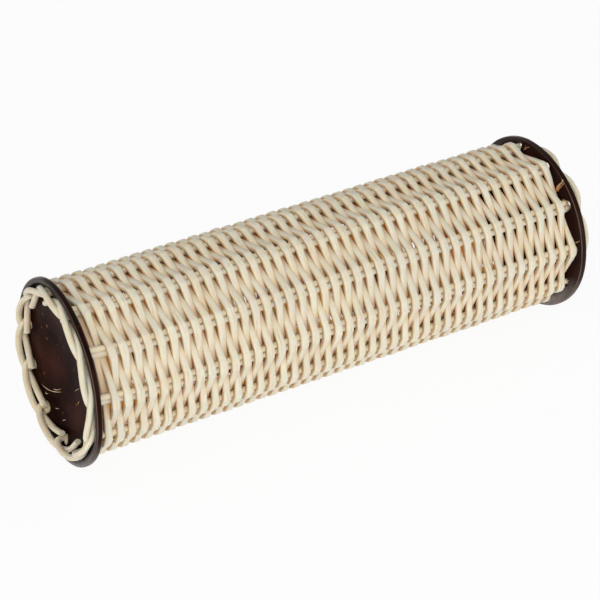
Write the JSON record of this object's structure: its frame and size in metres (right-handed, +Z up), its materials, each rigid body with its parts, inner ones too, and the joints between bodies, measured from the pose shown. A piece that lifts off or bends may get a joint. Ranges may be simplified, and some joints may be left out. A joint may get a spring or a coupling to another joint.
{
  "type": "woven cane ganza",
  "caption": "Tubular ganza shaker woven from cane over paired stakes, closed at both ends by dished coconut-shell discs with a plaited cane border, and holding loose rattle seeds.",
  "frame": {"origin": "middle of the tube, on its axis, midway between the two end discs", "axes": "+X along the tube towards the far disc, +Z up as it lies on its side"},
  "size_m": [0.251, 0.08, 0.0796],
  "materials": {
    "weaver_cane": "semi-matte",
    "stake_cane": "semi-matte",
    "coconut_shell": "polished",
    "seed_skin": "satin"
  },
  "bodies": {
    "basket": {"near_disc": "coconut_shell", "far_disc": "coconut_shell", "stake_01": "stake_cane", "stake_02": "stake_cane", "stake_03": "stake_cane", "stake_04": "stake_cane", "stake_05": "stake_cane", "stake_06": "stake_cane", "stake_07": "stake_cane", "stake_08": "stake_cane", "stake_09": "stake_cane", "stake_10": "stake_cane", "stake_11": "stake_cane", "bye_stake_01": "stake_cane", "bye_stake_02": "stake_cane", "bye_stake_03": "stake_cane", "bye_stake_04": "stake_cane", "bye_stake_05": "stake_cane", "bye_stake_06": "stake_cane", "bye_stake_07": "stake_cane", "bye_stake_08": "stake_cane", "bye_stake_09": "stake_cane", "bye_stake_10": "stake_cane", "bye_stake_11": "stake_cane", "weaver_01": "weaver_cane", "weaver_02": "weaver_cane", "weaver_03": "weaver_cane", "weaver_04": "weaver_cane", "weaver_05": "weaver_cane", "weaver_06": "weaver_cane", "weaver_07": "weaver_cane", "weaver_08": "weaver_cane", "weaver_09": "weaver_cane", "weaver_10": "weaver_cane", "weaver_11": "weaver_cane", "weaver_12": "weaver_cane", "weaver_13": "weaver_cane", "weaver_14": "weaver_cane", "weaver_15": "weaver_cane", "weaver_16": "weaver_cane", "weaver_17": "weaver_cane", "weaver_18": "weaver_cane", "weaver_19": "weaver_cane", "weaver_20": "weaver_cane", "weaver_21": "weaver_cane", "weaver_22": "weaver_cane"},
    "seed_01": {"seed_01": "seed_skin"},
    "seed_02": {"seed_02": "seed_skin"},
    "seed_03": {"seed_03": "seed_skin"},
    "seed_04": {"seed_04": "seed_skin"},
    "seed_05": {"seed_05": "seed_skin"},
    "seed_06": {"seed_06": "seed_skin"},
    "seed_07": {"seed_07": "seed_skin"},
    "seed_08": {"seed_08": "seed_skin"},
    "seed_09": {"seed_09": "seed_skin"},
    "seed_10": {"seed_10": "seed_skin"},
    "seed_11": {"seed_11": "seed_skin"},
    "seed_12": {"seed_12": "seed_skin"},
    "seed_13": {"seed_13": "seed_skin"},
    "seed_14": {"seed_14": "seed_skin"}
  },
  "joints": [
    {"name": "seed_01_slide", "type": "slide", "parent": "basket", "child": "seed_01", "axis": [1, 0, 0], "range_m": [-0.05155, 0.05155]},
    {"name": "seed_02_slide", "type": "slide", "parent": "basket", "child": "seed_02", "axis": [1, 0, 0], "range_m": [-0.07181, 0.03128]},
    {"name": "seed_03_slide", "type": "slide", "parent": "basket", "child": "seed_03", "axis": [1, 0, 0], "range_m": [-0.02166, 0.08143]},
    {"name": "seed_04_slide", "type": "slide", "parent": "basket", "child": "seed_04", "axis": [1, 0, 0], "range_m": [-0.07536, 0.02774]},
    {"name": "seed_05_slide", "type": "slide", "parent": "basket", "child": "seed_05", "axis": [1, 0, 0], "range_m": [-0.04632, 0.05678]},
    {"name": "seed_06_slide", "type": "slide", "parent": "basket", "child": "seed_06", "axis": [1, 0, 0], "range_m": [-0.03545, 0.06764]},
    {"name": "seed_07_slide", "type": "slide", "parent": "basket", "child": "seed_07", "axis": [1, 0, 0], "range_m": [-0.08052, 0.02258]},
    {"name": "seed_08_slide", "type": "slide", "parent": "basket", "child": "seed_08", "axis": [1, 0, 0], "range_m": [-0.02492, 0.07817]},
    {"name": "seed_09_slide", "type": "slide", "parent": "basket", "child": "seed_09", "axis": [1, 0, 0], "range_m": [-0.06185, 0.04125]},
    {"name": "seed_10_slide", "type": "slide", "parent": "basket", "child": "seed_10", "axis": [1, 0, 0], "range_m": [-0.06299, 0.04011]},
    {"name": "seed_11_slide", "type": "slide", "parent": "basket", "child": "seed_11", "axis": [1, 0, 0], "range_m": [-0.02438, 0.07872]},
    {"name": "seed_12_slide", "type": "slide", "parent": "basket", "child": "seed_12", "axis": [1, 0, 0], "range_m": [-0.08018, 0.02292]},
    {"name": "seed_13_slide", "type": "slide", "parent": "basket", "child": "seed_13", "axis": [1, 0, 0], "range_m": [-0.03649, 0.0666]},
    {"name": "seed_14_slide", "type": "slide", "parent": "basket", "child": "seed_14", "axis": [1, 0, 0], "range_m": [-0.04512, 0.05798]}
  ]
}
